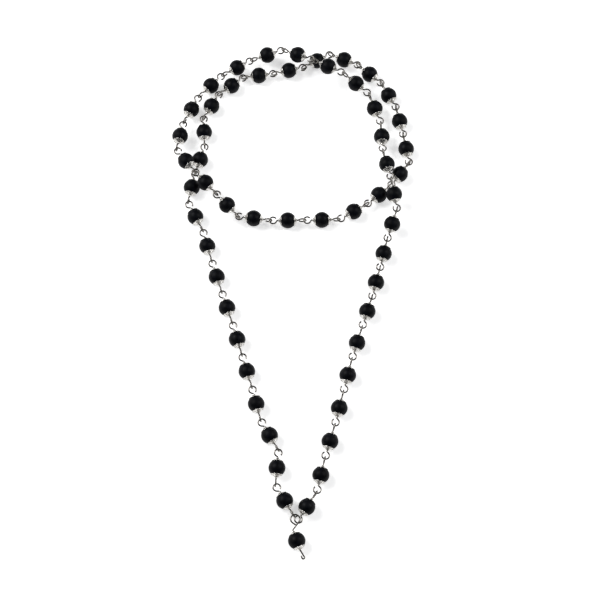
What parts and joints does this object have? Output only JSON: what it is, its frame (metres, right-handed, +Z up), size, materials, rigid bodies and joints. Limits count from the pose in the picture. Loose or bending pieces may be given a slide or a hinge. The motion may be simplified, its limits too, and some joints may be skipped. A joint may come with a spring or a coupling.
{
  "type": "rosary",
  "caption": "Looped rosary of round black wooden beads with silver-coloured caps, linked by wire eye pins, with a hooked pendant bead.",
  "frame": {"origin": "centre of the laid-down rosary's footprint, on the surface it lies on", "axes": "+X across the ring, +Y from the pendant towards the ring, +Z up off the surface"},
  "size_m": [0.119, 0.2578, 0.0129],
  "materials": {
    "ebony_black": "satin",
    "silver_plated_wire": "polished"
  },
  "bodies": {
    "pendant": {"guru_pin": "silver_plated_wire", "guru_cap_upper": "silver_plated_wire", "guru_cap_lower": "silver_plated_wire"},
    "pendant_bead": {"guru_bead": "ebony_black"},
    "link_01": {"bead_link_01": "ebony_black"},
    "link_02": {"bead_link_02": "ebony_black"},
    "link_03": {"bead_link_03": "ebony_black"},
    "link_04": {"bead_link_04": "ebony_black"},
    "link_05": {"bead_link_05": "ebony_black"},
    "link_06": {"bead_link_06": "ebony_black"},
    "link_07": {"bead_link_07": "ebony_black"},
    "link_08": {"bead_link_08": "ebony_black"},
    "link_09": {"bead_link_09": "ebony_black"},
    "link_10": {"bead_link_10": "ebony_black"},
    "link_11": {"bead_link_11": "ebony_black"},
    "link_12": {"bead_link_12": "ebony_black"},
    "link_13": {"bead_link_13": "ebony_black"},
    "link_14": {"bead_link_14": "ebony_black"},
    "link_15": {"bead_link_15": "ebony_black"},
    "link_16": {"bead_link_16": "ebony_black"},
    "link_17": {"bead_link_17": "ebony_black"},
    "link_18": {"bead_link_18": "ebony_black"},
    "link_19": {"bead_link_19": "ebony_black"},
    "link_20": {"bead_link_20": "ebony_black"},
    "link_21": {"bead_link_21": "ebony_black"},
    "link_22": {"bead_link_22": "ebony_black"},
    "link_23": {"bead_link_23": "ebony_black"},
    "link_24": {"bead_link_24": "ebony_black"},
    "link_25": {"bead_link_25": "ebony_black"},
    "link_26": {"bead_link_26": "ebony_black"},
    "link_27": {"bead_link_27": "ebony_black"},
    "link_28": {"bead_link_28": "ebony_black"},
    "link_29": {"bead_link_29": "ebony_black"},
    "link_30": {"bead_link_30": "ebony_black"},
    "link_31": {"bead_link_31": "ebony_black"},
    "link_32": {"bead_link_32": "ebony_black"},
    "link_33": {"bead_link_33": "ebony_black"},
    "link_34": {"bead_link_34": "ebony_black"},
    "link_35": {"bead_link_35": "ebony_black"},
    "link_36": {"bead_link_36": "ebony_black"},
    "link_37": {"bead_link_37": "ebony_black"},
    "link_38": {"bead_link_38": "ebony_black"},
    "link_39": {"bead_link_39": "ebony_black"},
    "link_40": {"bead_link_40": "ebony_black"},
    "link_41": {"bead_link_41": "ebony_black"},
    "link_42": {"bead_link_42": "ebony_black"},
    "link_43": {"bead_link_43": "ebony_black"},
    "link_44": {"bead_link_44": "ebony_black"},
    "link_45": {"bead_link_45": "ebony_black"},
    "link_46": {"bead_link_46": "ebony_black"},
    "link_47": {"bead_link_47": "ebony_black"},
    "link_48": {"bead_link_48": "ebony_black"},
    "link_49": {"bead_link_49": "ebony_black"},
    "link_50": {"bead_link_50": "ebony_black"},
    "link_51": {"bead_link_51": "ebony_black"},
    "link_52": {"bead_link_52": "ebony_black"},
    "link_53": {"bead_link_53": "ebony_black"},
    "link_54": {"bead_link_54": "ebony_black"}
  },
  "joints": [
    {"name": "pendant_bead_spin", "type": "hinge", "parent": "pendant", "child": "pendant_bead", "pos_m": [0.00193, -0.12038, 0.00384], "axis": [0.3584, -0.9336, 0], "continuous": true},
    {"name": "link_01_roll", "type": "hinge", "parent": "pendant", "child": "link_01", "pos_m": [0.00064, -0.10901, 0.00384], "axis": [0.5108, -0.8597, 0], "range_deg": [0, 36]},
    {"name": "link_02_swing", "type": "hinge", "parent": "link_01", "child": "link_02", "pos_m": [-0.00779, -0.09482, 0.00384], "axis": [0, 0, 1], "range_deg": [0, 35]},
    {"name": "link_03_roll", "type": "hinge", "parent": "link_02", "child": "link_03", "pos_m": [-0.00651, -0.07836, 0.00384], "axis": [0.2274, -0.9738, 0], "range_deg": [0, 36]},
    {"name": "link_04_swing", "type": "hinge", "parent": "link_03", "child": "link_04", "pos_m": [-0.01482, -0.06409, 0.00384], "axis": [0, 0, 1], "range_deg": [0, 35]},
    {"name": "link_05_roll", "type": "hinge", "parent": "link_04", "child": "link_05", "pos_m": [-0.01904, -0.04813, 0.00384], "axis": [0.3076, -0.9515, 0], "range_deg": [0, 36]},
    {"name": "link_06_swing", "type": "hinge", "parent": "link_05", "child": "link_06", "pos_m": [-0.02385, -0.03234, 0.00384], "axis": [0, 0, 1], "range_deg": [0, 35]},
    {"name": "link_07_roll", "type": "hinge", "parent": "link_06", "child": "link_07", "pos_m": [-0.02857, -0.01652, 0.00384], "axis": [0.3012, -0.9536, 0], "range_deg": [0, 36]},
    {"name": "link_08_swing", "type": "hinge", "parent": "link_07", "child": "link_08", "pos_m": [-0.03383, -0.00088, 0.00384], "axis": [0, 0, 1], "range_deg": [0, 35]},
    {"name": "link_09_roll", "type": "hinge", "parent": "link_08", "child": "link_09", "pos_m": [-0.03884, 0.01485, 0.00384], "axis": [0.3037, -0.9528, 0], "range_deg": [0, 36]},
    {"name": "link_10_swing", "type": "hinge", "parent": "link_09", "child": "link_10", "pos_m": [-0.04344, 0.03071, 0.00384], "axis": [0, 0, 1], "range_deg": [0, 35]},
    {"name": "link_11_roll", "type": "hinge", "parent": "link_10", "child": "link_11", "pos_m": [-0.05089, 0.04543, 0.00384], "axis": [-0.2006, -0.9797, 0], "range_deg": [0, 36]},
    {"name": "link_12_roll", "type": "hinge", "parent": "link_11", "child": "link_12", "pos_m": [-0.04771, 0.06098, 0.00384], "axis": [-0.283, -0.9591, 0], "range_deg": [0, 36]},
    {"name": "link_13_roll", "type": "hinge", "parent": "link_12", "child": "link_13", "pos_m": [-0.0434, 0.07559, 0.00384], "axis": [-0.292, -0.9564, 0], "range_deg": [0, 36]},
    {"name": "link_14_roll", "type": "hinge", "parent": "link_13", "child": "link_14", "pos_m": [-0.04421, 0.09079, 0.00384], "axis": [-0.4911, -0.8711, 0], "range_deg": [0, 36]},
    {"name": "link_15_roll", "type": "hinge", "parent": "link_14", "child": "link_15", "pos_m": [-0.03673, 0.10406, 0.00384], "axis": [-0.793, -0.6092, 0], "range_deg": [0, 36]},
    {"name": "link_16_roll", "type": "hinge", "parent": "link_15", "child": "link_16", "pos_m": [-0.02465, 0.11334, 0.00384], "axis": [-0.9898, -0.1426, 0], "range_deg": [0, 36]},
    {"name": "link_17_roll", "type": "hinge", "parent": "link_16", "child": "link_17", "pos_m": [-0.00958, 0.11551, 0.00384], "axis": [-0.9729, -0.2314, 0], "range_deg": [0, 36]},
    {"name": "link_18_roll", "type": "hinge", "parent": "link_17", "child": "link_18", "pos_m": [0.00524, 0.11903, 0.00384], "axis": [-0.8783, -0.4782, 0], "range_deg": [0, 36]},
    {"name": "link_19_roll", "type": "hinge", "parent": "link_18", "child": "link_19", "pos_m": [0.01862, 0.12632, 0.00384], "axis": [-0.9145, 0.4045, 0], "range_deg": [0, 36]},
    {"name": "link_20_roll", "type": "hinge", "parent": "link_19", "child": "link_20", "pos_m": [0.03254, 0.12016, 0.00384], "axis": [-0.7454, 0.6666, 0], "range_deg": [0, 36]},
    {"name": "link_21_roll", "type": "hinge", "parent": "link_20", "child": "link_21", "pos_m": [0.0439, 0.11001, 0.00384], "axis": [-0.4649, 0.8854, 0], "range_deg": [0, 36]},
    {"name": "link_22_roll", "type": "hinge", "parent": "link_21", "child": "link_22", "pos_m": [0.05098, 0.09652, 0.00384], "axis": [-0.2128, 0.9771, 0], "range_deg": [0, 36]},
    {"name": "link_23_roll", "type": "hinge", "parent": "link_22", "child": "link_23", "pos_m": [0.05422, 0.08164, 0.00384], "axis": [-0.1653, 0.9862, 0], "range_deg": [0, 36]},
    {"name": "link_24_roll", "type": "hinge", "parent": "link_23", "child": "link_24", "pos_m": [0.05674, 0.06662, 0.00384], "axis": [0.6042, 0.7968, 0], "range_deg": [0, 36]},
    {"name": "link_25_roll", "type": "hinge", "parent": "link_24", "child": "link_25", "pos_m": [0.04753, 0.05449, 0.00384], "axis": [0.765, 0.644, 0], "range_deg": [0, 36]},
    {"name": "link_26_roll", "type": "hinge", "parent": "link_25", "child": "link_26", "pos_m": [0.03588, 0.04468, 0.00384], "axis": [0.8598, 0.5107, 0], "range_deg": [0, 36]},
    {"name": "link_27_roll", "type": "hinge", "parent": "link_26", "child": "link_27", "pos_m": [0.02224, 0.03657, 0.00384], "axis": [0.9941, 0.1084, 0], "range_deg": [0, 36]},
    {"name": "link_28_roll", "type": "hinge", "parent": "link_27", "child": "link_28", "pos_m": [0.00573, 0.03622, 0.00384], "axis": [0.986, -0.1665, 0], "range_deg": [0, 36]},
    {"name": "link_29_roll", "type": "hinge", "parent": "link_28", "child": "link_29", "pos_m": [-0.01078, 0.0361, 0.00384], "axis": [0.9919, -0.1087, -0.0662], "range_deg": [0, 36]},
    {"name": "link_30_roll", "type": "hinge", "parent": "link_29", "child": "link_30", "pos_m": [-0.02652, 0.03783, 0.0049], "axis": [0.7505, -0.6257, -0.2124], "range_deg": [0, 36]},
    {"name": "link_31_roll", "type": "hinge", "parent": "link_30", "child": "link_31", "pos_m": [-0.03707, 0.04832, 0.00813], "axis": [0.689, -0.7182, -0.0976], "range_deg": [0, 36]},
    {"name": "link_32_roll", "type": "hinge", "parent": "link_31", "child": "link_32", "pos_m": [-0.04757, 0.05925, 0.00962], "axis": [0.5863, -0.802, 0.1142], "range_deg": [0, 36]},
    {"name": "link_33_roll", "type": "hinge", "parent": "link_32", "child": "link_33", "pos_m": [-0.05687, 0.07198, 0.0078], "axis": [-0.1758, -0.9671, 0.1837], "range_deg": [0, 36]},
    {"name": "link_34_roll", "type": "hinge", "parent": "link_33", "child": "link_34", "pos_m": [-0.05397, 0.08795, 0.00477], "axis": [-0.4393, -0.8966, 0.0561], "range_deg": [0, 36]},
    {"name": "link_35_roll", "type": "hinge", "parent": "link_34", "child": "link_35", "pos_m": [-0.04671, 0.10275, 0.00384], "axis": [-0.6946, -0.7194, 0], "range_deg": [0, 36]},
    {"name": "link_36_roll", "type": "hinge", "parent": "link_35", "child": "link_36", "pos_m": [-0.03524, 0.11463, 0.00384], "axis": [-0.8748, -0.4823, -0.046], "range_deg": [0, 36]},
    {"name": "link_37_roll", "type": "hinge", "parent": "link_36", "child": "link_37", "pos_m": [-0.0208, 0.12259, 0.0046], "axis": [-0.9502, -0.2626, -0.1678], "range_deg": [0, 36]},
    {"name": "link_38_roll", "type": "hinge", "parent": "link_37", "child": "link_38", "pos_m": [-0.00511, 0.12693, 0.00738], "axis": [-0.9032, 0.408, -0.1331], "range_deg": [0, 26]},
    {"name": "link_39_roll", "type": "hinge", "parent": "link_38", "child": "link_39", "pos_m": [0.0098, 0.12019, 0.00957], "axis": [-0.9097, 0.4094, 0.07], "range_deg": [0, 36]},
    {"name": "link_40_roll", "type": "hinge", "parent": "link_39", "child": "link_40", "pos_m": [0.02482, 0.11343, 0.00842], "axis": [-0.7724, 0.6022, 0.2021], "range_deg": [0, 36]},
    {"name": "link_41_lift", "type": "hinge", "parent": "link_40", "child": "link_41", "pos_m": [0.03757, 0.10349, 0.00508], "axis": [-0.9399, -0.3414, 0], "range_deg": [0, 40]},
    {"name": "link_42_lift", "type": "hinge", "parent": "link_41", "child": "link_42", "pos_m": [0.0432, 0.08799, 0.00424], "axis": [-0.9993, -0.0387, 0], "range_deg": [0, 40]},
    {"name": "link_43_lift", "type": "hinge", "parent": "link_42", "child": "link_43", "pos_m": [0.04383, 0.07176, 0.00721], "axis": [-0.9751, -0.2216, 0], "range_deg": [0, 40]},
    {"name": "link_44_lift", "type": "hinge", "parent": "link_43", "child": "link_44", "pos_m": [0.04745, 0.05583, 0.00963], "axis": [-0.9859, -0.1675, 0], "range_deg": [0, 40]},
    {"name": "link_45_lift", "type": "hinge", "parent": "link_44", "child": "link_45", "pos_m": [0.05009, 0.04028, 0.00791], "axis": [-0.9481, 0.3181, 0], "range_deg": [0, 40]},
    {"name": "link_46_swing", "type": "hinge", "parent": "link_45", "child": "link_46", "pos_m": [0.04536, 0.02619, 0.00457], "axis": [0, 0, 1], "range_deg": [0, 35]},
    {"name": "link_47_lift", "type": "hinge", "parent": "link_46", "child": "link_47", "pos_m": [0.0416, 0.01145, 0.00384], "axis": [-0.9653, 0.2612, 0], "range_deg": [0, 40]},
    {"name": "link_48_swing", "type": "hinge", "parent": "link_47", "child": "link_48", "pos_m": [0.03762, -0.00326, 0.00384], "axis": [0, 0, 1], "range_deg": [0, 35]},
    {"name": "link_49_lift", "type": "hinge", "parent": "link_48", "child": "link_49", "pos_m": [0.03271, -0.01836, 0.00384], "axis": [-0.9542, 0.2991, 0], "range_deg": [0, 40]},
    {"name": "link_50_swing", "type": "hinge", "parent": "link_49", "child": "link_50", "pos_m": [0.02777, -0.03412, 0.00384], "axis": [0, 0, 1], "range_deg": [0, 35]},
    {"name": "link_51_lift", "type": "hinge", "parent": "link_50", "child": "link_51", "pos_m": [0.02365, -0.05011, 0.00384], "axis": [-0.9685, 0.2489, 0], "range_deg": [0, 40]},
    {"name": "link_52_swing", "type": "hinge", "parent": "link_51", "child": "link_52", "pos_m": [0.01954, -0.06611, 0.00384], "axis": [0, 0, 1], "range_deg": [0, 35]},
    {"name": "link_53_lift", "type": "hinge", "parent": "link_52", "child": "link_53", "pos_m": [0.01486, -0.08195, 0.00384], "axis": [-0.9721, 0.2346, 0], "range_deg": [0, 40]},
    {"name": "link_54_swing", "type": "hinge", "parent": "link_53", "child": "link_54", "pos_m": [0.01098, -0.098, 0.00384], "axis": [0, 0, 1], "range_deg": [0, 35]}
  ]
}
